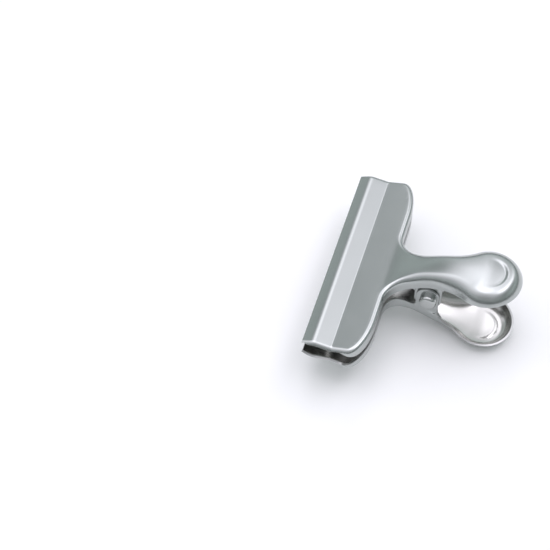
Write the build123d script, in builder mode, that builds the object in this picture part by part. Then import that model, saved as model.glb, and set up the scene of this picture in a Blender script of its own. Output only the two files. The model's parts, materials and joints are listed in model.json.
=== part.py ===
"""Sprung bag clip: two pressed sheet-metal jaws hinged on one rivet, with a torsion spring inside.

Frame, in millimetres: X runs along the stem (mouth at -X, handles at +X), Y runs across the
jaws and Z is up. The origin is the centre of the whole clip. The two jaws mirror each other in
the XY plane. They are built slightly apart, as when they grip a folded bag; squeezing the
handles opens the mouth further.

Every shape is drawn about the hinge axis first, with that axis on Y, and each finished piece is
then placed so that the hinge axis stands at HINGE_X.
"""
import os
from math import acos, atan2, cos, degrees, hypot, radians, sin, sqrt

from build123d import *

os.makedirs("parts", exist_ok=True)

# ---------------------------------------------------------------- driving dimensions
SHEET = 0.8                  # thickness of the pressed stainless sheet
JAW_WIDTH = 76.0             # length of the gripping edge
LIP_X, LIP_Z = -36.0, 3.2    # outer face of the gripping edge
RIDGE_X, RIDGE_Z = -32.2, 4.7
VALLEY_X, VALLEY_Z = -25.9, 3.75
FIELD_END_X, FIELD_END_Z = -16.0, 6.0
HANDLE_STATIONS = ((-6.0, 10.2), (1.0, 13.2), (8.0, 15.0), (18.0, 16.4))
RUN_OUT = (34.0, 17.6)       # the side curve is carried on past the end of the handle
RUN_OUT_SLOPE = 0.07
RIDGE_RADIUS = 5.0
VALLEY_RADIUS = 1.2

BACK_X = -14.1               # rear edge of the crossbar
CORNER_LENGTH = 6.3          # elliptical rear corners of the crossbar, along X
CORNER_WIDTH = 15.0          # and along Y
NECK_HALF_WIDTH = 5.8        # at the narrowest point
NECK_FILLET = 7.5            # where the crossbar meets the neck
WAIST_RADIUS = 27.8
BULB_RADIUS = 11.6           # rounded end of the handle
HANDLE_END_X = 29.8

RIM_RADIUS = 1.9             # outside bend between plate and flange
EDGE_ROLL = 0.2              # how far the crossbar ends curl down past the sheet
FLANGE_START_X = -23.0       # the flange grows out of the crossbar ends from here
FLANGE_EDGE = (              # free edge of the flange in side view, from back edge to handle end
    (-17.0, 1.5), (-14.1, 1.2), (-6.0, 4.3), (1.0, 7.2), (8.0, 9.6), (18.0, 11.4), (34.0, 12.6),
)
FLANGE_END_SLOPE = 0.05

DISH_RIM = 5.0               # width of the raised rim round the thumb dish
DISH_FLOOR = ((0.0, 13.4), (8.0, 14.58), (18.0, 15.2), (29.8, 16.1))   # in side view
DISH_BLEND = 2.4             # radius where the dish floor turns up into its wall
DISH_NECK_X = 5.0            # the dish runs out towards the neck here
DISH_NECK_RADIUS = 3.4

LOWER_EAR_FACE = 5.8         # outer face of the lower jaw's ears, from the middle plane
EAR_GAP = 0.1                # side clearance between the two pairs of ears
EAR_HEIGHT = 5.3             # how far an ear reaches past the hinge axis
EAR_CORNER = 3.0
LOWER_EAR_BACK, LOWER_EAR_FRONT = -4.4, 3.5
UPPER_EAR_BACK, UPPER_EAR_FRONT = -3.6, 4.2
EAR_ROOT_Z = 9.0             # height at which the ears run into the flange
JOGGLE_Z = 7.5               # the upper jaw's ears have stepped inwards by this height
JOGGLE_RISE = 0.3            # the inside of the step sits this much higher than the outside
JOGGLE_LAP = 0.05            # the top of the step stays inside the flange by this much

RIVET_RADIUS = 1.25
FIXED_CLEARANCE = 0.01       # rivet in the lower jaw's ears
RUNNING_CLEARANCE = 0.05     # rivet in the upper jaw's ears
HEAD_RADIUS = 3.0
HEAD_HEIGHT = 2.2
HEAD_ROUND = 1.1
CLINCH_RADIUS = 2.5
CLINCH_HEIGHT = 1.0
CLINCH_ROUND = 0.45
CLINCH_BORE_RADIUS = 0.8
CLINCH_BORE_DEPTH = 2.4

WIRE_RADIUS = 0.6
COIL_RADIUS = 2.8            # to the middle of the wire
COIL_PITCH = 1.3
COIL_FULL_TURNS = 4
LEG_REACH_X = 5.5            # where each leg bears on the inside of its handle
LEG_CLEARANCE = 0.4          # between the leg and the sheet it bears on

# ---------------------------------------------------------------- working values
BULB_X = HANDLE_END_X - BULB_RADIUS
UPPER_EAR_FACE = LOWER_EAR_FACE - SHEET - EAR_GAP
TALL = 40.0                  # taller than one jaw, for cutting shapes
BELOW = -1.0                 # cutting shapes start under the middle plane
MOUTH_OVERRUN = 4.0          # the inner shape is cut right out through the mouth
FACES_UP, FACES_DOWN = 0.3, -0.5    # least upward and downward share of a face's normal
FAR_SIDE = Plane.XZ.offset(-50.0)   # side views are drawn here and extruded right across
ACROSS = 100.0
HINGE_X = -(LIP_X + HANDLE_END_X) / 2
HINGE = Location((HINGE_X, 0, 0))


def jaw_outline(inset, mouth_x):
    """Plan view of a jaw as a closed face, pulled in all round except at the mouth."""
    half = JAW_WIDTH / 2 - inset
    back = BACK_X - inset
    fillet_r = NECK_FILLET + inset
    waist_r = WAIST_RADIUS + inset
    bulb_r = BULB_RADIUS - inset
    neck = NECK_HALF_WIDTH - inset
    waist_y = neck + waist_r
    waist_x = BULB_X - sqrt((waist_r + bulb_r) ** 2 - waist_y ** 2)
    fillet_x = back + fillet_r
    fillet_y = waist_y - sqrt((waist_r - fillet_r) ** 2 - (fillet_x - waist_x) ** 2)
    waist_start = waist_r / (waist_r - fillet_r)
    join_1 = (
        waist_x + (fillet_x - waist_x) * waist_start,
        waist_y + (fillet_y - waist_y) * waist_start,
    )
    waist_end = waist_r / (waist_r + bulb_r)
    join_2 = (waist_x + (BULB_X - waist_x) * waist_end, waist_y - waist_y * waist_end)
    corner_x = BACK_X - CORNER_LENGTH
    corner_y = JAW_WIDTH / 2 - CORNER_WIDTH
    with BuildSketch() as outline:
        with BuildLine():
            Line((mouth_x, 0), (mouth_x, half))
            Line((mouth_x, half), (corner_x, half))
            EllipticalCenterArc(
                (corner_x, corner_y), CORNER_LENGTH - inset, CORNER_WIDTH - inset, 0, arc_size=90
            )
            Line((back, corner_y), (back, fillet_y))
            RadiusArc((back, fillet_y), join_1, -fillet_r)
            RadiusArc(join_1, join_2, -waist_r)
            ThreePointArc(
                join_2,
                (BULB_X + bulb_r * cos(radians(45)), bulb_r * sin(radians(45))),
                (BULB_X + bulb_r, 0),
            )
            Line((BULB_X + bulb_r, 0), (mouth_x, 0))
        make_face()
        mirror(about=Plane.XZ)
    return outline.sketch


def side_block(drop):
    """Everything under the outer face of the upper jaw, lowered by `drop`."""
    start = (2 * LIP_X - RIDGE_X, 2 * LIP_Z - RIDGE_Z - drop)
    field_slope = (FIELD_END_Z - VALLEY_Z) / (FIELD_END_X - VALLEY_X)
    stations = [(FIELD_END_X, FIELD_END_Z)] + list(HANDLE_STATIONS) + [RUN_OUT]
    with BuildPart() as block:
        with BuildSketch(FAR_SIDE) as side:
            with BuildLine():
                Polyline(
                    start,
                    (RIDGE_X, RIDGE_Z - drop),
                    (VALLEY_X, VALLEY_Z - drop),
                    (FIELD_END_X, FIELD_END_Z - drop),
                )
                Spline(
                    *[(x, z - drop) for x, z in stations],
                    tangents=[(1, field_slope), (1, RUN_OUT_SLOPE)],
                )
                Polyline(
                    (RUN_OUT[0], RUN_OUT[1] - drop), (RUN_OUT[0], BELOW), (start[0], BELOW), start
                )
            make_face()
            ridge = side.vertices().sort_by_distance((RIDGE_X, RIDGE_Z - drop, 0))[0]
            fillet(ridge, RIDGE_RADIUS)
            valley = side.vertices().sort_by_distance((VALLEY_X, VALLEY_Z - drop, 0))[0]
            fillet(valley, VALLEY_RADIUS)
        extrude(amount=ACROSS)
    return block.part


def dish_tool(drop):
    """Solid that sinks the thumb dish; its floor runs out at the neck."""
    floor_points = [(x, z - drop) for x, z in DISH_FLOOR]
    with BuildPart() as tool:
        with BuildSketch():
            with Locations((BULB_X, 0)):
                Circle(BULB_RADIUS - DISH_RIM)
            with Locations((DISH_NECK_X, 0)):
                Circle(DISH_NECK_RADIUS)
            make_hull()
        extrude(amount=TALL)
        with BuildSketch(FAR_SIDE):
            with BuildLine():
                Spline(*floor_points)
                Polyline(
                    floor_points[-1],
                    (floor_points[-1][0], BELOW),
                    (floor_points[0][0], BELOW),
                    floor_points[0],
                )
            make_face()
        extrude(amount=ACROSS, mode=Mode.SUBTRACT)
        floor = tool.faces().filter_by(lambda face: face.normal_at().Z < FACES_DOWN)
        fillet(floor.edges(), DISH_BLEND)
    return tool.part


def skin_solid(inset, mouth_x, rim_radius):
    """Solid body bounded by one skin of the upper jaw, with its rim rounded."""
    block = side_block(inset)
    with BuildPart() as skin:
        with BuildSketch():
            add(jaw_outline(inset, mouth_x))
        extrude(amount=TALL)
        add(block, mode=Mode.INTERSECT)
        roof = skin.faces().filter_by(lambda face: face.normal_at().Z > FACES_UP)
        fillet(roof.edges().filter_by(Axis.Y, reverse=True), rim_radius)
    return skin.part


def flange_trim():
    """Everything below the free edge of the upper jaw's flange."""
    hang = SHEET + EDGE_ROLL
    field_slope = (FIELD_END_Z - VALLEY_Z) / (FIELD_END_X - VALLEY_X)
    start_z = VALLEY_Z + field_slope * (FLANGE_START_X - VALLEY_X) - hang
    mouth = (2 * LIP_X - RIDGE_X, 2 * LIP_Z - RIDGE_Z - hang)
    with BuildPart() as trim:
        with BuildSketch(FAR_SIDE):
            with BuildLine():
                Polyline(
                    mouth,
                    (RIDGE_X, RIDGE_Z - hang),
                    (VALLEY_X, VALLEY_Z - hang),
                    (FLANGE_START_X, start_z),
                )
                Spline(
                    (FLANGE_START_X, start_z),
                    *FLANGE_EDGE,
                    tangents=[(1, 0), (1, FLANGE_END_SLOPE)],
                )
                Polyline(FLANGE_EDGE[-1], (FLANGE_EDGE[-1][0], -TALL), (mouth[0], -TALL), mouth)
            make_face()
        extrude(amount=ACROSS)
    return trim.part


def plain_jaw():
    """Upper jaw as one pressed sheet, without its ears."""
    outer = skin_solid(0, LIP_X, RIM_RADIUS)
    inner = skin_solid(SHEET, LIP_X - MOUTH_OVERRUN, RIM_RADIUS - SHEET)
    outer_dish = dish_tool(0)
    inner_dish = dish_tool(SHEET)
    trim = flange_trim()
    with BuildPart() as cavity:
        add(inner)
        add(inner_dish, mode=Mode.SUBTRACT)
    with BuildPart() as jaw:
        add(outer)
        add(outer_dish, mode=Mode.SUBTRACT)
        add(cavity.part, mode=Mode.SUBTRACT)
        add(trim, mode=Mode.SUBTRACT)
    return jaw.part


# ---------------------------------------------------------------- pressed jaws
pressing = plain_jaw()

with BuildPart() as lower_ears:
    with BuildSketch(Plane.XZ.offset(LOWER_EAR_FACE - SHEET)):
        with Locations(((LOWER_EAR_BACK + LOWER_EAR_FRONT) / 2, (EAR_HEIGHT - EAR_ROOT_Z) / 2)):
            tab = Rectangle(LOWER_EAR_FRONT - LOWER_EAR_BACK, EAR_HEIGHT + EAR_ROOT_Z)
        fillet(tab.vertices().group_by(Axis.Y)[-1], EAR_CORNER)
        Circle(RIVET_RADIUS + FIXED_CLEARANCE, mode=Mode.SUBTRACT)
    extrude(amount=SHEET)
    mirror(about=Plane.XZ)

with BuildPart() as lower_sheet:
    mirror(pressing, about=Plane.XY)
    add(lower_ears.part)

with BuildPart() as lower_jaw:
    with Locations(HINGE):
        add(lower_sheet.part)

# The upper ears step inwards by one sheet so that they sit inside the lower ones.
with BuildPart() as upper_ears:
    with BuildSketch(Plane.YZ.offset(UPPER_EAR_BACK)):
        with BuildLine():
            Polyline(
                (NECK_HALF_WIDTH - JOGGLE_LAP, EAR_ROOT_Z),
                (UPPER_EAR_FACE, JOGGLE_Z),
                (UPPER_EAR_FACE, -EAR_HEIGHT),
                (UPPER_EAR_FACE - SHEET, -EAR_HEIGHT),
                (UPPER_EAR_FACE - SHEET, JOGGLE_Z + JOGGLE_RISE),
                (NECK_HALF_WIDTH - SHEET + JOGGLE_LAP, EAR_ROOT_Z + JOGGLE_RISE),
                close=True,
            )
        make_face()
    extrude(amount=UPPER_EAR_FRONT - UPPER_EAR_BACK)
    lower_corners = upper_ears.edges().filter_by(Axis.Y).group_by(Axis.Z)[0]
    fillet(lower_corners, EAR_CORNER)
    with Locations((0, UPPER_EAR_FACE - SHEET / 2, 0)):
        Cylinder(RIVET_RADIUS + RUNNING_CLEARANCE, 2 * SHEET, rotation=(90, 0, 0), mode=Mode.SUBTRACT)
    mirror(about=Plane.XZ)

with BuildPart() as upper_sheet:
    add(pressing)
    add(upper_ears.part)

with BuildPart() as upper_jaw:
    with Locations(HINGE):
        add(upper_sheet.part)

# ---------------------------------------------------------------- rivet
with BuildPart() as set_rivet:
    Cylinder(RIVET_RADIUS, 2 * LOWER_EAR_FACE, rotation=(90, 0, 0))
    with BuildSketch(Plane.XZ.offset(LOWER_EAR_FACE)):
        Circle(HEAD_RADIUS)
    extrude(amount=HEAD_HEIGHT)
    fillet(set_rivet.edges().sort_by(Axis.Y)[0], HEAD_ROUND)
    with BuildSketch(Plane.XZ.offset(-LOWER_EAR_FACE)):
        Circle(CLINCH_RADIUS)
    extrude(amount=-CLINCH_HEIGHT)
    with BuildSketch(Plane.XZ.offset(-LOWER_EAR_FACE - CLINCH_HEIGHT)):
        Circle(CLINCH_BORE_RADIUS)
    extrude(amount=CLINCH_BORE_DEPTH, mode=Mode.SUBTRACT)
    fillet(set_rivet.edges().filter_by(GeomType.CIRCLE).group_by(Axis.Y)[-1], CLINCH_ROUND)

with BuildPart() as hinge_rivet:
    with Locations(HINGE):
        add(set_rivet.part)

# ---------------------------------------------------------------- torsion spring
# Each leg leaves the mouth side of the coil and crosses over it to bear inside its own handle,
# so squeezing the handles winds the coil tighter.
(near_x, near_z), (far_x, far_z) = HANDLE_STATIONS[1:3]
plate_z = near_z + (far_z - near_z) * (LEG_REACH_X - near_x) / (far_x - near_x)
leg_z = plate_z - SHEET - WIRE_RADIUS - LEG_CLEARANCE
leg_reach = hypot(LEG_REACH_X, leg_z)
leg_run = sqrt(leg_reach ** 2 - COIL_RADIUS ** 2)
leave_angle = degrees(atan2(leg_z, LEG_REACH_X) + acos(COIL_RADIUS / leg_reach))
turns = COIL_FULL_TURNS + (360 - 2 * leave_angle) / 360
coil_length = turns * COIL_PITCH
coil_start = Plane(
    origin=(HINGE_X, coil_length / 2, 0),
    x_dir=(cos(radians(leave_angle)), 0, sin(radians(leave_angle))),
    z_dir=(0, -1, 0),
)

with BuildPart() as wound_wire:
    with BuildLine() as wire:
        coil = Helix(COIL_PITCH, coil_length, COIL_RADIUS)
        Line(coil @ 0 - leg_run * (coil % 0), coil @ 0)
        Line(coil @ 1, coil @ 1 + leg_run * (coil % 1))
    with BuildSketch(wire.line ^ 0):
        Circle(WIRE_RADIUS)
    sweep(path=wire.line, is_frenet=True)

with BuildPart() as torsion_spring:
    with Locations(coil_start.location):
        add(wound_wire.part)

# ---------------------------------------------------------------- export
lower_jaw.part.label = "lower_jaw"
export_step(lower_jaw.part, "parts/lower_jaw.step")

upper_jaw.part.label = "upper_jaw"
export_step(upper_jaw.part, "parts/upper_jaw.step")

hinge_rivet.part.label = "hinge_rivet"
export_step(hinge_rivet.part, "parts/hinge_rivet.step")

torsion_spring.part.label = "torsion_spring"
export_step(torsion_spring.part, "parts/torsion_spring.step")
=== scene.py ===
import bpy
import json
import math
import numpy as np
from mathutils import Matrix, Vector
from mathutils.geometry import delaunay_2d_cdt


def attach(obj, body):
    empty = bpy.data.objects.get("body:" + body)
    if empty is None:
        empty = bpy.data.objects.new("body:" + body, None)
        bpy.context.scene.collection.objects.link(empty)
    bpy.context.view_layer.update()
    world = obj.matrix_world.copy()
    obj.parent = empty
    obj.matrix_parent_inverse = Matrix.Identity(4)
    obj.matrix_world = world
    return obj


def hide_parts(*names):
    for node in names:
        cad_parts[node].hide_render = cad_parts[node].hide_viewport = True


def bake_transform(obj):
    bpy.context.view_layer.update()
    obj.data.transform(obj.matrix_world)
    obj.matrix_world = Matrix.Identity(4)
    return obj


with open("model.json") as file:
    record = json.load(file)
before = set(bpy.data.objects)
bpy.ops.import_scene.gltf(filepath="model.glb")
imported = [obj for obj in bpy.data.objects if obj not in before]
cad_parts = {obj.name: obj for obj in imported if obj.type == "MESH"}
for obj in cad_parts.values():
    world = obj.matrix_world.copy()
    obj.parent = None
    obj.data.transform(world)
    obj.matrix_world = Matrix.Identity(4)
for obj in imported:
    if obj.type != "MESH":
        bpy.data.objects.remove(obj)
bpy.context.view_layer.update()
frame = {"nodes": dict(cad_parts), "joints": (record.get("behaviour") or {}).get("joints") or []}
nodes = frame["nodes"]

MM = 0.001
HINGE = Vector(frame["joints"][0]["pos_m"])     # shapes are drawn about the hinge axis, in mm

# ---------------------------------------------------------------- the pressing, in mm
# Pairs of x and z are points on the outer face of the upper jaw, seen from the side.
SHEET = 0.8
JAW_WIDTH = 76.0
LIP = (-36.0, 3.2)
RIDGE, RIDGE_RADIUS = (-32.2, 4.7), 5.0
VALLEY, VALLEY_RADIUS = (-25.9, 3.75), 1.2
FIELD_END = (-16.0, 6.0)                        # end of the flat field behind the valley
HANDLE_STATIONS = ((-6.0, 10.2), (1.0, 13.2), (8.0, 15.0), (18.0, 16.4), (34.0, 17.6))
HANDLE_END_SLOPE = 0.07

# Plan view
BACK_X = -14.1                                  # rear edge of the crossbar
CORNER_LENGTH, CORNER_WIDTH = 6.3, 15.0         # elliptical rear corners of the crossbar
NECK_HALF_WIDTH = 5.8
NECK_FILLET = 7.5
WAIST_RADIUS = 27.8
BULB_RADIUS = 11.6
HANDLE_END_X = 29.8
BULB_X = HANDLE_END_X - BULB_RADIUS
NECK_REACH = NECK_HALF_WIDTH + 2                # the outline of the neck keeps within this of the middle
STEM_REACH = BULB_RADIUS + 1                    # and that of the whole stem within this
CROWN_REACH = 2 * NECK_HALF_WIDTH + 2           # the crown reaches the outline within this

# Flange and bend
FLANGE_START_X = -23.0
FLANGE_EDGE = (
    (-17.0, 1.5), (-14.1, 1.2), (-6.0, 4.3), (1.0, 7.2), (8.0, 9.6), (18.0, 11.4), (34.0, 12.6),
)
FLANGE_END_SLOPE = 0.05
EDGE_ROLL = 0.2
LIP_RELIEF = 0.68                               # the roll at each end of the crossbar fades out at the lip
CROSSBAR_BEND, NECK_BEND, HANDLE_BEND = 1.9, 2.8, 4.2   # outside bend radius
HANDLE_FLARE = math.radians(24)                 # how far the handle flange leans outwards
NECK_CROWN, HANDLE_CROWN = 0.9, 1.8             # how far the stem curves down to its edges
EDGE_BREAK = 0.09                               # the cut edge is broken by this much
DISH_START, DISH_WALL = 5.0, 1.5                # distance of the dish wall from the edge, and its width
DISH_DEPTH = 0.75

# Stretches of x over which each shape comes in
LIP_RELIEF_RANGE = (LIP[0] + 3.0, LIP[0] + 0.5)
NECK_BEND_RANGE, HANDLE_BEND_RANGE = (-12, -4), (-1, 9)
NECK_CROWN_RANGE, HANDLE_CROWN_RANGE = (-13, -4), (1, 14)
FLARE_RANGE = (4.5, 12)
DISH_RANGE = (16, 27)

# Ears
EAR_HEIGHT, EAR_CORNER = 5.3, 3.9
EAR_ROOT_ROUND = 1.2
EAR_STEP = 0.9                                  # height over which an ear steps to its own plane
EARS = {                                        # back edge, front edge, outer face
    "lower": (-4.4, 3.5, 5.8),
    "upper": (-5.2, 4.2, 4.9),
}
RIVET_HOLE = 1.32

# Spring
WIRE_RADIUS = 0.6
COIL_RADIUS = 2.8
COIL_PITCH = 1.3
COIL_FULL_TURNS = 4
LEG_REACH_X = 5.5
LEG_CLEARANCE = 0.9                             # below the plate's middle; its sides hang lower
LEG_START = 0.3                                 # gap between the end of the coil and a leg's first point

# How finely the meshes are drawn
OUTLINE_STEP = 0.5
PROFILE_STEP = 0.25
RIDGE_POINTS, VALLEY_POINTS = 15, 9
BEND_ROWS, WALL_ROWS = 13, 6
LIP_POINTS, CREASE_POINTS = 60, 41
CREASE_STEP, CREASE_BACK_OFF = 1.0, 0.25
LIP_CREASE = 1.2                                # distance of the first crease row from the lip
PLATE_GRID, PLATE_GRID_REACH = 0.55, 32
PLATE_MARGIN = 0.3
HANDLE_RINGS_START_X = -2
HANDLE_RINGS = (0.5, 1.0, 1.5, 2.0, 2.4, 2.75, 3.1, 3.45, 3.8, 4.2)    # distances inside the bend
EAR_GRID, EAR_STEP_GRID, EAR_MARGIN = 0.4, 0.15, 0.2
EAR_BACK_POINTS, EAR_CORNER_POINTS, EAR_FRONT_POINTS = 8, 12, 10
HOLE_POINTS = 28
HOLE_INSIDE, HOLE_RING, HOLE_MARGIN = 0.98, 1.35, 1.6   # shares of the rivet hole's radius
COIL_POINTS_PER_TURN, LEG_POINTS, WIRE_SIDES = 40, 14, 14
SHARP_ANGLE = math.radians(35)
TOUCHING = 1e-6
NUDGE = 1e-4
SLIVER_AREA = 1e-7
WELD_DECIMALS = 4
TINY = 1e-12


# ---------------------------------------------------------------- curves
def smooth(low, high, value):
    """0 at low and before it, 1 at high and after it, with an even turn between."""
    t = np.clip((np.asarray(value, float) - low) / (high - low), 0, 1)
    return t * t * (3 - 2 * t)


def clamped_spline(points, slope_start, slope_end):
    """Cubic curve z(x) through the points with the given end slopes."""
    x, z = np.array(points, float).T
    last = len(x) - 1
    gap = np.diff(x)
    matrix, right_side = np.zeros((last + 1, last + 1)), np.zeros(last + 1)
    matrix[0, 0] = matrix[last, last] = 1
    right_side[0], right_side[last] = slope_start, slope_end
    for i in range(1, last):
        before, after = gap[i - 1], gap[i]
        matrix[i, i - 1 : i + 2] = 1 / before, 2 / before + 2 / after, 1 / after
        right_side[i] = 3 * ((z[i] - z[i - 1]) / before ** 2 + (z[i + 1] - z[i]) / after ** 2)
    slope = np.linalg.solve(matrix, right_side)

    def height(where):
        where = np.asarray(where, float)
        i = np.clip(np.searchsorted(x, where) - 1, 0, last - 1)
        t = (where - x[i]) / gap[i]
        ends = z[i] * (1 + 2 * t) * (1 - t) ** 2 + z[i + 1] * t * t * (3 - 2 * t)
        return ends + gap[i] * (slope[i] * t * (1 - t) ** 2 - slope[i + 1] * t * t * (1 - t))

    return height


def rounded_corner(before, corner, after, radius, count):
    """Points on the arc that rounds a corner of the side profile."""
    before, corner, after = (np.array(p, float) for p in (before, corner, after))
    u = (before - corner) / np.linalg.norm(before - corner)
    v = (after - corner) / np.linalg.norm(after - corner)
    half_angle = math.acos(u @ v) / 2
    centre = corner + (u + v) / np.linalg.norm(u + v) * radius / math.sin(half_angle)
    first = corner + u * radius / math.tan(half_angle) - centre
    last = corner + v * radius / math.tan(half_angle) - centre
    turn = math.pi - 2 * half_angle
    return [
        tuple(centre + (first * math.sin((1 - t) * turn) + last * math.sin(t * turn)) / math.sin(turn))
        for t in np.linspace(0, 1, count)
    ]


FIELD_SLOPE = (FIELD_END[1] - VALLEY[1]) / (FIELD_END[0] - VALLEY[0])
LIP_SLOPE = (RIDGE[1] - LIP[1]) / (RIDGE[0] - LIP[0])
neck_height = clamped_spline((FIELD_END,) + HANDLE_STATIONS, FIELD_SLOPE, HANDLE_END_SLOPE)
neck_x = np.arange(FIELD_END[0], HANDLE_STATIONS[-1][0], PROFILE_STEP)
ridge_arc = rounded_corner(LIP, RIDGE, VALLEY, RIDGE_RADIUS, RIDGE_POINTS)
valley_arc = rounded_corner(RIDGE, VALLEY, FIELD_END, VALLEY_RADIUS, VALLEY_POINTS)
side_profile = np.array([LIP] + ridge_arc + valley_arc + list(zip(neck_x, neck_height(neck_x))))
edge_start = VALLEY[1] + FIELD_SLOPE * (FLANGE_START_X - VALLEY[0]) - SHEET - EDGE_ROLL
flange_curve = clamped_spline(((FLANGE_START_X, edge_start),) + FLANGE_EDGE, 0.0, FLANGE_END_SLOPE)


def plate_height(x):
    """Height of the outer face along the stem."""
    before_lip = LIP[1] + LIP_SLOPE * (np.asarray(x, float) - LIP[0])
    return np.where(x < LIP[0], before_lip, np.interp(x, side_profile[:, 0], side_profile[:, 1]))


def flange_height(x):
    """Height of the free edge of the flange."""
    end_roll = SHEET + EDGE_ROLL - LIP_RELIEF * smooth(*LIP_RELIEF_RANGE, x)
    return np.where(x < FLANGE_START_X, plate_height(x) - end_roll, flange_curve(x))


def half_outline(step):
    """Plan view of the pressing for y >= 0, from the mouth to the end of the handle."""
    half = JAW_WIDTH / 2
    waist_y = NECK_HALF_WIDTH + WAIST_RADIUS
    waist_x = BULB_X - math.sqrt((WAIST_RADIUS + BULB_RADIUS) ** 2 - waist_y ** 2)
    fillet_x = BACK_X + NECK_FILLET
    fillet_y = waist_y - math.sqrt((WAIST_RADIUS - NECK_FILLET) ** 2 - (fillet_x - waist_x) ** 2)
    corner_x, corner_y = BACK_X - CORNER_LENGTH, half - CORNER_WIDTH
    leave_fillet = math.atan2(fillet_y - waist_y, fillet_x - waist_x)
    leave_waist = math.atan2(-waist_y, BULB_X - waist_x)
    points = []

    def straight(a, b):
        count = round(math.dist(a, b) / step)
        points.extend(np.linspace(a, b, count, endpoint=False))

    def arc(centre, radii, first, last):
        count = round(abs(last - first) * max(radii) / step)
        for angle in np.linspace(first, last, count, endpoint=False):
            points.append((centre[0] + radii[0] * math.cos(angle), centre[1] + radii[1] * math.sin(angle)))

    straight((LIP[0], half), (corner_x, half))
    arc((corner_x, corner_y), (CORNER_LENGTH, CORNER_WIDTH), math.pi / 2, 0)
    straight((BACK_X, corner_y), (BACK_X, fillet_y))
    arc((fillet_x, fillet_y), (NECK_FILLET, NECK_FILLET), math.pi, 2 * math.pi + leave_fillet)
    arc((waist_x, waist_y), (WAIST_RADIUS, WAIST_RADIUS), leave_fillet, leave_waist)
    arc((BULB_X, 0), (BULB_RADIUS, BULB_RADIUS), leave_waist + math.pi, 0)
    points.append((HANDLE_END_X, 0.0))
    return np.array(points, float)


def snap_columns(points, stations):
    """Moves the nearest neck point of the outline onto each given x, keeping it on the curve."""
    for x in stations:
        neck = (points[:, 1] < 2 * NECK_HALF_WIDTH) & (points[:, 0] < BULB_X)
        i = np.argmin(np.where(neck, abs(points[:, 0] - x), np.inf))
        j = i + 1 if points[i, 0] < x else i - 1
        share = (x - points[i, 0]) / (points[j, 0] - points[i, 0])
        points[i] = points[i] + (points[j] - points[i]) * share
    return points


def outline_distance(points, outline):
    """Distance of plan points from the outline; the open mouth doesn't count."""
    nearest = np.full(len(points), np.inf)
    for a, b in zip(outline[:-1], outline[1:]):
        along = np.clip(((points - a) @ (b - a)) / ((b - a) @ (b - a)), 0, 1)
        nearest = np.minimum(nearest, np.linalg.norm(points - a - along[:, None] * (b - a), axis=1))
    return nearest


def inside(points, loop):
    """True for the points that lie inside a closed loop."""
    hit = np.zeros(len(points), bool)
    for (xa, ya), (xb, yb) in zip(loop, np.roll(loop, -1, axis=0)):
        if ya != yb:
            crosses = (ya > points[:, 1]) != (yb > points[:, 1])
            hit ^= crosses & (points[:, 0] < (xb - xa) * (points[:, 1] - ya) / (yb - ya) + xa)
    return hit


middle_x = np.arange(BACK_X, BULB_X, OUTLINE_STEP)
middle_gap = outline_distance(np.column_stack([middle_x, 0 * middle_x]), half_outline(OUTLINE_STEP))


def bend_radius(x, y):
    """The outside bend is tight round the crossbar and opens out along the neck and the handle."""
    on_stem = np.abs(y) < STEM_REACH
    neck = (NECK_BEND - CROSSBAR_BEND) * smooth(*NECK_BEND_RANGE, x)
    handle = (HANDLE_BEND - NECK_BEND) * smooth(*HANDLE_BEND_RANGE, x)
    return CROSSBAR_BEND + (neck + handle) * on_stem


def stem_half_width(x):
    """Distance from the middle of the stem to its edge."""
    return np.interp(x, middle_x, middle_gap)


def crown_depth(x, from_edge):
    """How far the stem curves down below its middle line."""
    neck = NECK_CROWN * smooth(*NECK_CROWN_RANGE, x)
    depth = neck + (HANDLE_CROWN - NECK_CROWN) * smooth(*HANDLE_CROWN_RANGE, x)
    return depth * np.clip(1 - from_edge / stem_half_width(x), 0, 1) ** 2


def dish_depth(x, from_edge):
    """How far the thumb dish sinks; its wall fades away along the sides of the handle."""
    wall = smooth(DISH_START, DISH_START + DISH_WALL, from_edge)
    return DISH_DEPTH * wall * smooth(*DISH_RANGE, x)


# ---------------------------------------------------------------- meshes
def triangles(points, chains, keep):
    """Triangulates 2-D points with the chains of indices as edges; keep picks triangles by centre."""
    edges = [pair for chain in chains for pair in zip(chain[:-1], chain[1:])]
    found = delaunay_2d_cdt([Vector(p) for p in points], edges, [], 0, TOUCHING)
    source = [min(s) if s else None for s in found[3]]
    faces = [[source[i] for i in face] for face in found[2]]
    faces = np.array([f for f in faces if None not in f])
    corners = np.array(points)[faces]
    faces = faces[keep(corners.mean(axis=1))]
    corners = np.array(points)[faces]
    u, v = corners[:, 1] - corners[:, 0], corners[:, 2] - corners[:, 0]
    area = u[:, 0] * v[:, 1] - u[:, 1] * v[:, 0]
    faces = faces[abs(area) > SLIVER_AREA]
    flip = area[abs(area) > SLIVER_AREA] < 0
    faces[flip] = faces[flip][:, ::-1]
    return [list(map(int, f)) for f in faces]


def weld(vertices, faces):
    """Joins points that coincide and drops faces that have collapsed."""
    places = np.round(vertices, WELD_DECIMALS)
    _, first, index = np.unique(places, axis=0, return_index=True, return_inverse=True)
    index = index.reshape(-1)
    kept = []
    for face in faces:
        face = [int(index[i]) for i in face]
        face = [i for k, i in enumerate(face) if i != face[k - 1]]
        if len(face) > 2:
            kept.append(face)
    return vertices[first], kept


def vertex_normals(vertices, faces):
    """Area-weighted normals."""
    total = np.zeros_like(vertices)
    for face in faces:
        a, b, c, d = (vertices[face[i % len(face)]] for i in (0, 1, 2, -1))
        normal = np.cross(c - a, d - b) if len(face) == 4 else np.cross(b - a, c - a)
        for i in face:
            total[i] += normal
    return total / np.linalg.norm(total, axis=1)[:, None]


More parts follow.
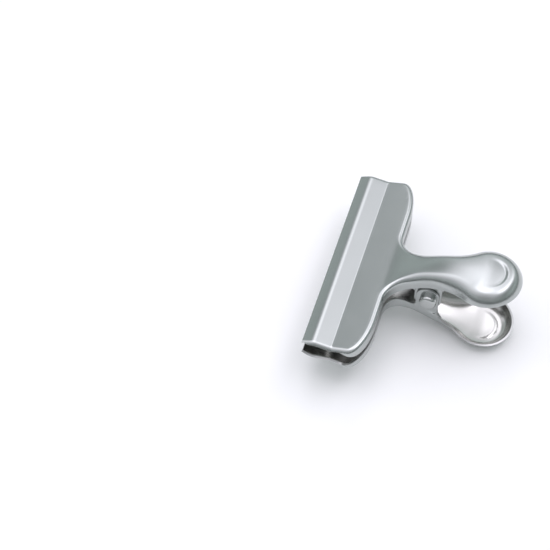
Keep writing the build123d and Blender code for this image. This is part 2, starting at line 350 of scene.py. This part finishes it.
def bend_and_flange(outline, outward, edge_height):
    """Rows of points from the plate round the bend and down the flange, one column per outline point.

    The free edge lies on the outline. Also gives the distance from the outline to the bend's start.
    """
    radius = bend_radius(outline[:, 0], outline[:, 1])
    edge_drop = crown_depth(outline[:, 0], 0) * (abs(outline[:, 1]) < CROWN_REACH)
    depth = plate_height(outline[:, 0]) - edge_drop - edge_height
    most_turn = math.pi / 2 - HANDLE_FLARE * smooth(*FLARE_RANGE, outline[:, 0])
    bend_depth = radius * (1 - np.cos(most_turn))
    cut_short = np.arccos(np.clip(1 - depth / radius, -1, 1))
    full_turn = np.where(depth < bend_depth, cut_short, most_turn)
    straight = np.maximum(depth - bend_depth, 0) / np.sin(most_turn)
    width = radius * np.sin(np.maximum(full_turn, most_turn)) + straight * np.cos(full_turn)
    rows = []
    for share in np.linspace(0, 1, BEND_ROWS):
        turn = share * full_turn
        inset = width - radius * np.sin(turn)
        plan = outline - outward * inset[:, None]
        crown = crown_depth(plan[:, 0], inset)
        drop = np.where(edge_drop > 0, crown, 0) + radius * (1 - np.cos(turn))
        rows.append(np.column_stack([plan, plate_height(plan[:, 0]) - drop]))
    bottom_of_bend = rows[-1]
    leaning = outward * (straight * np.cos(full_turn))[:, None]
    downwards = -straight * np.sin(full_turn)
    for share in np.linspace(0, 1, WALL_ROWS)[1:]:
        rows.append(bottom_of_bend + share * np.column_stack([leaning, downwards]))
    rows[-1][:, 2] = edge_height
    return rows, width


def plate_points(outline, ring, width, outward):
    """Extra plan points inside the bend: along the creases, over the stem and round the handle."""
    points, chains = [], []
    creases = [p[0] for p in ridge_arc[1:] + valley_arc]
    creases += list(np.arange(VALLEY[0] + 1, FIELD_END[0], CREASE_STEP)) + [LIP[0] + LIP_CREASE]
    for x in sorted(creases):
        first = len(points)
        reach = JAW_WIDTH / 2 - CROSSBAR_BEND - CREASE_BACK_OFF
        while not inside(np.array([(x + NUDGE, reach)]), ring)[0]:
            reach -= CREASE_BACK_OFF
        points += [(x, y) for y in np.linspace(-reach, reach, CREASE_POINTS)]
        chains.append(list(range(first, len(points))))
    grid_x = np.arange(FIELD_END[0], HANDLE_END_X, PLATE_GRID)
    grid_y = np.arange(-PLATE_GRID_REACH, PLATE_GRID_REACH, PLATE_GRID)
    stem = [(x, y) for x in grid_x for y in grid_y]
    on_handle = outline[:, 0] > HANDLE_RINGS_START_X
    for step_in in HANDLE_RINGS:
        rim = (outline - outward * (width + step_in)[:, None])[on_handle]
        stem += [tuple(p) for p in rim]
    stem = np.array(stem)
    stem = stem[inside(stem, ring) & (outline_distance(stem, ring) > PLATE_MARGIN)]
    return points + [tuple(p) for p in stem], chains


def ear_patch(top, plane):
    """One ear below its flange: its points and triangles. top is its root, from back to front."""
    back, front = top[0], top[-1]
    corner = EAR_CORNER
    side_end = -EAR_HEIGHT + corner
    rim = [(back[0], z) for z in np.linspace(back[2], side_end, EAR_BACK_POINTS)[1:]]
    for centre_x, first in ((back[0] + corner, math.pi), (front[0] - corner, 1.5 * math.pi)):
        for angle in np.linspace(first, first + math.pi / 2, EAR_CORNER_POINTS)[1:]:
            rim.append((centre_x + corner * math.cos(angle), side_end + corner * math.sin(angle)))
    rim += [(front[0], z) for z in np.linspace(side_end, front[2], EAR_FRONT_POINTS)[1:-1]]
    turns = np.linspace(0, 2 * math.pi, HOLE_POINTS, endpoint=False)
    hole = [(RIVET_HOLE * math.cos(t), RIVET_HOLE * math.sin(t)) for t in turns]
    ring_radius = RIVET_HOLE * HOLE_RING
    ringed = [(ring_radius * math.cos(t), ring_radius * math.sin(t)) for t in turns]
    root = [(p[0], p[2]) for p in top]
    loop = np.array(root + rim[::-1])
    lattice = []
    for x in np.arange(back[0], front[0], EAR_GRID):
        root_z = np.interp(x, top[:, 0], top[:, 2])
        step_rows = np.arange(EAR_STEP_GRID, EAR_STEP + EAR_MARGIN, EAR_STEP_GRID)
        lattice += [(x, root_z - below) for below in step_rows]
        lattice += [(x, z) for z in np.arange(-EAR_HEIGHT, root_z - EAR_STEP - EAR_GRID, EAR_GRID)]
    lattice = np.array(lattice)
    closed_loop = np.vstack([loop, loop[:1]])
    clear = inside(lattice, loop) & (outline_distance(lattice, closed_loop) > EAR_MARGIN)
    clear &= np.hypot(lattice[:, 0], lattice[:, 1]) > RIVET_HOLE * HOLE_MARGIN
    points = root + rim + hole + ringed + [tuple(p) for p in lattice[clear]]
    first_rim, first_hole = len(root), len(root) + len(rim)
    around = list(range(len(root))) + list(range(first_hole - 1, first_rim - 1, -1)) + [0]
    hole_loop = list(range(first_hole, first_hole + HOLE_POINTS)) + [first_hole]

    def keep(centres):
        outside_hole = np.hypot(centres[:, 0], centres[:, 1]) > RIVET_HOLE * HOLE_INSIDE
        return inside(centres, loop) & outside_hole

    faces = triangles(points, [around, hole_loop], keep)
    points = np.array(points)
    root_y = np.interp(points[:, 0], top[:, 0], top[:, 1])
    root_z = np.interp(points[:, 0], top[:, 0], top[:, 2])
    stepped = smooth(0, EAR_STEP, root_z - points[:, 1])
    y = root_y + (plane * np.sign(root_y) - root_y) * stepped
    return np.column_stack([points[:, 0], y, points[:, 1]]), faces


def pressed_skin(back, front, plane):
    """Outer skin of a jaw drawn as the upper one: vertices in mm and faces looking outwards."""
    half = snap_columns(half_outline(OUTLINE_STEP), (back, front))
    outline = np.vstack([half, (half[:-1] * (1, -1))[::-1]])
    columns = len(outline)
    along = np.gradient(outline, axis=0)
    along /= np.linalg.norm(along, axis=1)[:, None]
    outward = np.column_stack([-along[:, 1], along[:, 0]])
    outward[0], outward[-1] = (0, 1), (0, -1)
    edge_height = flange_height(outline[:, 0])
    on_neck = (abs(outline[:, 1]) < NECK_REACH) & (outline[:, 0] < BULB_X)
    for away in (back - outline[:, 0], outline[:, 0] - front):
        root = on_neck & (away > -TOUCHING) & (away < EAR_ROOT_ROUND)
        into_fillet = EAR_ROOT_ROUND - np.clip(away, 0, EAR_ROOT_ROUND)
        dip = EAR_ROOT_ROUND - np.sqrt(EAR_ROOT_ROUND ** 2 - into_fillet ** 2)
        edge_height = np.where(root, edge_height - dip, edge_height)
    rows, width = bend_and_flange(outline, outward, edge_height)
    vertices = list(np.vstack(rows))
    faces = []
    for row in range(len(rows) - 1):
        for i in range(columns - 1):
            a, b = row * columns + i, (row + 1) * columns + i
            faces.append([a, a + 1, b + 1, b])

    ring = rows[0][:, :2]
    lip_y = np.linspace(ring[-1, 1], ring[0, 1], LIP_POINTS)[1:-1]
    lip = np.column_stack([np.full(len(lip_y), LIP[0]), lip_y])
    inner_points, chains = plate_points(outline, np.vstack([ring, lip]), width, outward)
    plan = np.vstack([ring, lip, inner_points])
    around = list(range(columns + len(lip))) + [0]
    chains = [[i + columns + len(lip) for i in chain] for chain in chains]
    loop = np.vstack([ring, lip])
    plate_faces = triangles(plan, [around] + chains, lambda centres: inside(centres, loop))
    extra = plan[columns:]
    from_edge = outline_distance(extra, outline)
    height = plate_height(extra[:, 0]) - dish_depth(extra[:, 0], from_edge)
    height -= crown_depth(extra[:, 0], from_edge)
    first_extra = len(vertices)
    vertices += list(np.column_stack([extra, height]))
    faces += [[i if i < columns else i - columns + first_extra for i in face] for face in plate_faces]

    bottom = (len(rows) - 1) * columns
    beside_ear = (outline[:, 0] > back - TOUCHING) & (outline[:, 0] < front + TOUCHING)
    near_ear = np.flatnonzero(on_neck & beside_ear)
    for sign in (1, -1):
        chosen = near_ear[np.sign(outline[near_ear, 1]) == sign]
        chosen = chosen[np.argsort(outline[chosen, 0])]
        patch, patch_faces = ear_patch(np.array(vertices)[bottom + chosen], plane)
        index = [bottom + int(i) for i in chosen]
        index += list(range(len(vertices), len(vertices) + len(patch) - len(chosen)))
        vertices += list(patch[len(chosen):])
        for face in patch_faces:
            face = [index[i] for i in face]
            faces.append(face[::-1] if sign > 0 else face)
    return weld(np.array(vertices), faces)


def sheet_object(name, outer, faces, mirrored, materials):
    """Gives a skin its thickness on the inside, with broken cut edges, and makes the object."""
    inward = -vertex_normals(outer, faces)
    edges = dict.fromkeys((a, b) for face in faces for a, b in zip(face, face[1:] + face[:1]))
    open_edges = [(a, b) for a, b in edges if (b, a) not in edges]
    rim = sorted({i for edge in open_edges for i in edge})
    outward = np.zeros_like(outer)
    for a, b in open_edges:
        away = np.cross(outer[b] - outer[a], -inward[a])
        away /= np.linalg.norm(away) + TINY
        outward[a] += away
        outward[b] += away
    inner = outer + inward * SHEET
    first_cut = len(outer) + len(inner)
    cut_index = {i: first_cut + 2 * k for k, i in enumerate(rim)}
    cut_points = []
    outer = outer.copy()
    for i in rim:
        away = outward[i] / (np.linalg.norm(outward[i]) + TINY)
        cut_points += [outer[i] + inward[i] * EDGE_BREAK, inner[i] - inward[i] * EDGE_BREAK]
        outer[i] -= away * EDGE_BREAK
        inner[i] -= away * EDGE_BREAK
    count = len(outer)
    all_faces = [list(face) for face in faces] + [[i + count for i in face[::-1]] for face in faces]
    slots = [0] * len(faces) + [1] * len(faces)
    for a, b in open_edges:
        for upper, lower in (
            ((a, b), (cut_index[a], cut_index[b])),
            ((cut_index[a], cut_index[b]), (cut_index[a] + 1, cut_index[b] + 1)),
            ((cut_index[a] + 1, cut_index[b] + 1), (a + count, b + count)),
        ):
            all_faces.append([upper[1], upper[0], lower[0], lower[1]])
            slots.append(2)
    points = np.vstack([outer, inner, cut_points])
    if mirrored:
        points = points * (1, 1, -1)
        all_faces = [face[::-1] for face in all_faces]
    return mesh_object(name, points, all_faces, materials, slots)


def mesh_object(name, points, faces, materials, slots=None):
    """A smooth-shaded object from points in mm about the hinge."""
    mesh = bpy.data.meshes.new(name)
    mesh.from_pydata([tuple(p) for p in np.asarray(points) * MM + np.array(HINGE)], [], faces)
    for material in materials:
        mesh.materials.append(material)
    if slots:
        mesh.polygons.foreach_set("material_index", slots)
    mesh.polygons.foreach_set("use_smooth", [True] * len(mesh.polygons))
    mesh.set_sharp_from_angle(angle=SHARP_ANGLE)
    mesh.validate()
    obj = bpy.data.objects.new(name, mesh)
    bpy.context.collection.objects.link(obj)
    return obj


END_SHRINK, END_REACH, END_TIP = 0.7, 0.25, 0.32        # shape of a wire's end, as shares of its radius


def tube(name, path, radius, sides, materials):
    """A round wire along a path of points, with slightly domed ends."""
    along = np.gradient(path, axis=0)
    along /= np.linalg.norm(along, axis=1)[:, None]
    side = np.cross(along[0], (0, 1, 0))
    rings, faces = [], []
    for point, direction in zip(path, along):
        side = side - direction * (side @ direction)
        side /= np.linalg.norm(side)
        other = np.cross(direction, side)
        for k in range(sides):
            turn = 2 * math.pi * k / sides
            rings.append(point + radius * (math.cos(turn) * side + math.sin(turn) * other))
    for i in range(len(path) - 1):
        for k in range(sides):
            a, b = i * sides + k, i * sides + (k + 1) % sides
            faces.append([a, b, b + sides, a + sides])
    points = rings
    for ring, end, sign in ((0, path[0], -1), (len(path) - 1, path[-1], 1)):
        direction = along[ring] * sign
        start = ring * sides
        shrunk = len(points)
        for k in range(sides):
            points.append(end + (points[start + k] - end) * END_SHRINK + direction * radius * END_REACH)
        points.append(end + direction * radius * END_TIP)
        for k in range(sides):
            n = (k + 1) % sides
            quad = [start + k, start + n, shrunk + n, shrunk + k]
            cap = [shrunk + k, shrunk + n, shrunk + sides]
            faces += [quad, cap] if sign > 0 else [quad[::-1], cap[::-1]]
    return mesh_object(name, points, faces, materials)


def spring_path():
    """Middle of the spring wire: one leg, the coil, the other leg."""
    (near_x, near_z), (far_x, far_z) = HANDLE_STATIONS[1:3]
    plate_z = near_z + (far_z - near_z) * (LEG_REACH_X - near_x) / (far_x - near_x)
    leg_z = plate_z - SHEET - WIRE_RADIUS - LEG_CLEARANCE
    leg_reach = math.hypot(LEG_REACH_X, leg_z)
    leg_run = math.sqrt(leg_reach ** 2 - COIL_RADIUS ** 2)
    leave = math.atan2(leg_z, LEG_REACH_X) + math.acos(COIL_RADIUS / leg_reach)
    turns = COIL_FULL_TURNS + (2 * math.pi - 2 * leave) / (2 * math.pi)
    length = turns * COIL_PITCH
    coil = []
    for t in np.linspace(0, 1, int(turns * COIL_POINTS_PER_TURN)):
        angle = leave + t * turns * 2 * math.pi
        coil.append((COIL_RADIUS * math.cos(angle), length * (0.5 - t), COIL_RADIUS * math.sin(angle)))
    coil = np.array(coil)
    leaves, arrives = coil[1] - coil[0], coil[-1] - coil[-2]
    inwards = np.linspace(leg_run, LEG_START, LEG_POINTS)
    outwards = np.linspace(LEG_START, leg_run, LEG_POINTS)
    first_leg = coil[0] - np.outer(inwards, leaves) / np.linalg.norm(leaves)
    last_leg = coil[-1] + np.outer(outwards, arrives) / np.linalg.norm(arrives)
    return np.vstack([first_leg, coil, last_leg]), length


# ---------------------------------------------------------------- materials
def node_adder(tree):
    """A helper that adds a node, sets its properties and sets or links its inputs."""
    def add(kind, inputs=None, **settings):
        node = tree.nodes.new(kind)
        for key, value in settings.items():
            setattr(node, key, value)
        for key, value in (inputs or {}).items():
            if isinstance(value, bpy.types.NodeSocket):
                tree.links.new(value, node.inputs[key])
            else:
                node.inputs[key].default_value = value
        return node

    return add


def new_material(name):
    """An empty node material and its node adder."""
    material = bpy.data.materials.new(name)
    material.use_nodes = True
    material.node_tree.nodes.clear()
    return material, node_adder(material.node_tree)


MOTTLE_SCALE, SMUDGE_SCALE = 120.0, 38.0        # noise cells per metre
DARKEST_SHARE = 0.955                           # the mottling darkens the tint to this share
GRAIN_HEIGHT = 0.00004                          # in metres


def steel(name, tint, rough, rough_swing, grain, grain_scale):
    """Stainless steel: fine drawn grain, soft mottling and faint smudges.

    The roughness runs from 1.5 swings below rough to 2.5 above. The denoiser leaves marks where a
    steel's roughness crosses about 0.27, so each steel keeps to one side of it.
    """
    mat, add = new_material(name)
    coord = add("ShaderNodeTexCoord").outputs["Object"]
    stretched = add("ShaderNodeMapping", {"Vector": coord, "Scale": grain_scale}).outputs["Vector"]
    lines = add("ShaderNodeTexNoise", {
        "Vector": stretched, "Scale": 1.0, "Detail": 3.0, "Roughness": 0.6})
    mottle = add("ShaderNodeTexNoise", {
        "Vector": coord, "Scale": MOTTLE_SCALE, "Detail": 4.0, "Roughness": 0.55})
    smudge = add("ShaderNodeTexNoise", {
        "Vector": coord, "Scale": SMUDGE_SCALE, "Detail": 2.0, "Roughness": 0.5})

    low = add("ShaderNodeMapRange", {
        "Value": mottle.outputs["Fac"], "From Min": 0.3, "From Max": 0.7,
        "To Min": rough - rough_swing, "To Max": rough + rough_swing})
    smear = add("ShaderNodeMapRange", {
        "Value": smudge.outputs["Fac"], "From Min": 0.45, "From Max": 0.75,
        "To Min": 0.0, "To Max": rough_swing})
    rough_sum = add(
        "ShaderNodeMath", {0: low.outputs["Result"], 1: smear.outputs["Result"]}, operation="ADD")
    line_rough = add("ShaderNodeMapRange", {
        "Value": lines.outputs["Fac"], "From Min": 0.3, "From Max": 0.7,
        "To Min": -rough_swing * 0.5, "To Max": rough_swing * 0.5})
    rough_all = add(
        "ShaderNodeMath", {0: rough_sum.outputs[0], 1: line_rough.outputs["Result"]}, operation="ADD")

    shade = add("ShaderNodeMix", {
        "Factor": mottle.outputs["Fac"], "A": [c * DARKEST_SHARE for c in tint] + [1],
        "B": list(tint) + [1]}, data_type="RGBA")
    bump = add("ShaderNodeBump", {
        "Height": lines.outputs["Fac"], "Strength": grain, "Distance": GRAIN_HEIGHT})
    bsdf = add("ShaderNodeBsdfPrincipled", {
        "Base Color": shade.outputs["Result"], "Metallic": 1.0,
        "Roughness": rough_all.outputs[0], "Normal": bump.outputs["Normal"]})
    add("ShaderNodeOutputMaterial", {"Surface": bsdf.outputs["BSDF"]})
    return mat


satin = steel("satin_steel", (0.46, 0.483, 0.474), 0.25, 0.009, 0.08, (2200, 110, 2200))
polished = steel("polished_steel", (0.57, 0.57, 0.552), 0.22, 0.020, 0.04, (1800, 200, 1800))
cut_edge = steel("cut_edge_steel", (0.48, 0.487, 0.483), 0.32, 0.025, 0.20, (900, 900, 4000))
wire = steel("spring_wire", (0.42, 0.43, 0.44), 0.23, 0.016, 0.20, (1500, 1500, 1500))
rivet = steel("rivet_steel", (0.50, 0.517, 0.508), 0.23, 0.016, 0.15, (1800, 1800, 1800))


# ---------------------------------------------------------------- the clip
SHEET_MATERIALS = (satin, polished, cut_edge)   # outside, inside and cut edge of the sheet
for jaw, (back_edge, front_edge, ear_face) in EARS.items():
    skin, skin_faces = pressed_skin(back_edge, front_edge, ear_face)
    sheet = sheet_object(f"{jaw}_jaw_pressing", skin, skin_faces, jaw == "lower", SHEET_MATERIALS)
    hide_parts(f"{jaw}_jaw")
    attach(sheet, jaw)

wire_path, coil_length = spring_path()
spring = tube("torsion_spring_wire", wire_path, WIRE_RADIUS, WIRE_SIDES, [wire])
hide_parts("torsion_spring")
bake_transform(spring)

nodes["hinge_rivet"].data.materials.clear()
nodes["hinge_rivet"].data.materials.append(rivet)


# ---------------------------------------------------------------- floor
FLOOR_DARK, FLOOR_LIGHT = [0.90, 0.905, 0.905, 1], [0.94, 0.945, 0.94, 1]
FLOOR_Z = -16.45 * MM                           # just under the lower handle
FLOOR_HALF_SIZE = 3.0


def floor_material():
    """Pale, matt and very slightly speckled."""
    mat, add = new_material("pale_floor")
    coord = add("ShaderNodeTexCoord").outputs["Object"]
    speck = add("ShaderNodeTexNoise", {"Vector": coord, "Scale": 60.0, "Detail": 5.0})
    tone = add("ShaderNodeMix", {
        "Factor": speck.outputs["Fac"], "A": FLOOR_DARK, "B": FLOOR_LIGHT}, data_type="RGBA")
    bsdf = add("ShaderNodeBsdfPrincipled", {
        "Base Color": tone.outputs["Result"], "Roughness": 0.75,
        "Emission Color": tone.outputs["Result"], "Emission Strength": 0.04})
    add("ShaderNodeOutputMaterial", {"Surface": bsdf.outputs["BSDF"]})
    return mat


floor_mesh = bpy.data.meshes.new("studio_floor")
floor_corners = [
    (x * FLOOR_HALF_SIZE, y * FLOOR_HALF_SIZE, FLOOR_Z) for x, y in ((-1, -1), (1, -1), (1, 1), (-1, 1))]
floor_mesh.from_pydata(floor_corners, [], [(0, 1, 2, 3)])
floor = bpy.data.objects.new("studio_floor", floor_mesh)
floor_mesh.materials.append(floor_material())
bpy.context.collection.objects.link(floor)


# ---------------------------------------------------------------- light
# Two lights hang over the clip: a softbox and a strip light. Their brightness follows the share of X
# in a direction, and the tilt from straight up towards +Y, where 1 means level. The room is dim low
# down and behind the camera. Each pair is a place between -1 and 1 and the brightness there.
SOFTBOX_ALONG = (
    (-0.50, 0.0), (-0.38, 0.50), (-0.27, 1.65), (-0.16, 1.65),
    (0.0, 0.85), (0.15, 0.80), (0.38, 2.2), (0.60, 0.0),
)
SOFTBOX_TILT = (
    (-0.20, 0.0), (-0.05, 0.75), (0.12, 1.0), (0.40, 1.0), (0.52, 0.55), (0.70, 0.15), (0.85, 0.0),
)
STRIP_ALONG = (
    (-0.95, 0.0), (-0.80, 0.9), (-0.45, 1.1), (-0.15, 0.7), (0.3, 0.8), (0.55, 0.4), (0.75, 0.0),
)
STRIP_TILT = (
    (-0.95, 0.0), (-0.60, 0.25), (-0.32, 0.7), (-0.15, 1.0), (0.10, 1.0), (0.22, 0.35), (0.38, 0.0),
)
LAMP_TINT = (1.03, 0.98, 1.07)
WALL_BY_HEIGHT = ((0.0, 0.20), (0.2, 0.36), (0.38, 0.64), (0.70, 0.33), (1.0, 0.34))
WALL_BY_DEPTH = ((-1.0, 0.5), (-0.5, 0.65), (0.1, 1.0), (0.8, 1.0))
WALL_TINT = (0.90, 1.0, 1.0)
BACKDROP = (0.84, 0.85, 0.86)


def studio_world():
    """The two lights in a plain room, and a pale backdrop that only the camera sees."""
    world = bpy.data.worlds.new("studio")
    world.use_nodes = True
    tree = world.node_tree
    tree.nodes.clear()
    add = node_adder(tree)

    def ramp(value, stops):
        """Brightness from a value between -1 and 1, as a smooth curve through the stops."""
        share = add("ShaderNodeMapRange", {"Value": value, "From Min": -1.0, "From Max": 1.0})
        node = add("ShaderNodeValToRGB", {"Fac": share.outputs["Result"]})
        node.color_ramp.interpolation = "EASE"
        elements = node.color_ramp.elements
        while len(elements) < len(stops):
            elements.new(0.5)
        brightest = max(level for _, level in stops)
        for element, (where, level) in zip(elements, stops):
            element.position = (where + 1) / 2
            element.color = (level / brightest,) * 3 + (1,)
        return product(node.outputs["Color"], brightest)

    def tinted(level, tint):
        return add("ShaderNodeVectorMath", {0: tint, "Scale": level}, operation="SCALE").outputs["Vector"]

    def product(a, b):
        return add("ShaderNodeMath", {0: a, 1: b}, operation="MULTIPLY").outputs[0]

    generated = add("ShaderNodeTexCoord").outputs["Generated"]
    direction = add("ShaderNodeSeparateXYZ", {"Vector": generated}).outputs
    tilt = add("ShaderNodeMath", {0: direction["Y"], 1: direction["Z"]}, operation="ARCTAN2").outputs[0]
    level_tilt = add("ShaderNodeMath", {0: tilt, 1: math.pi / 2}, operation="DIVIDE").outputs[0]
    softbox = product(ramp(direction["X"], SOFTBOX_ALONG), ramp(level_tilt, SOFTBOX_TILT))
    strip = product(ramp(direction["X"], STRIP_ALONG), ramp(level_tilt, STRIP_TILT))
    walls = product(ramp(direction["Z"], WALL_BY_HEIGHT), ramp(direction["Y"], WALL_BY_DEPTH))
    lamps = add("ShaderNodeMath", {0: softbox, 1: strip}, operation="ADD").outputs[0]
    light = add("ShaderNodeVectorMath", {
        0: tinted(lamps, LAMP_TINT), 1: tinted(walls, WALL_TINT)}).outputs["Vector"]
    seen = add("ShaderNodeLightPath").outputs["Is Camera Ray"]
    shown = add("ShaderNodeMix", {"Factor": seen, "A": light, "B": (*BACKDROP, 1)}, data_type="RGBA")
    background = add("ShaderNodeBackground", {"Color": shown.outputs["Result"]})
    add("ShaderNodeOutputWorld", {"Surface": background.outputs["Background"]})
    bpy.context.scene.world = world


studio_world()

# ---------------------------------------------------------------- camera
AZIMUTH, ELEVATION, ROLL = math.radians(17.7), math.radians(54.8), math.radians(-0.33)
DISTANCE, SHIFT_RIGHT, SHIFT_UP = 534.1 * MM, 54.3 * MM, -3.9 * MM
LENS, SENSOR_WIDTH = 101.45, 36.0               # in mm
EXPOSURE = 0.15
back = Vector((
    math.sin(AZIMUTH) * math.cos(ELEVATION),
    -math.cos(AZIMUTH) * math.cos(ELEVATION),
    math.sin(ELEVATION),
))
level = Vector((math.cos(AZIMUTH), math.sin(AZIMUTH), 0))
rise = back.cross(level)
right = level * math.cos(ROLL) + rise * math.sin(ROLL)
up = rise * math.cos(ROLL) - level * math.sin(ROLL)
cam_data = bpy.data.cameras.new("camera")
cam_data.sensor_width = SENSOR_WIDTH
cam_data.lens = LENS
cam = bpy.data.objects.new("camera", cam_data)
cam_place = HINGE + back * DISTANCE - right * SHIFT_RIGHT - up * SHIFT_UP
cam_turn = Matrix((right, up, back)).transposed().to_4x4()
cam.matrix_world = Matrix.Translation(cam_place) @ cam_turn
bpy.context.collection.objects.link(cam)
bpy.context.scene.camera = cam
bpy.context.scene.view_settings.view_transform = "Standard"
bpy.context.scene.view_settings.exposure = EXPOSURE
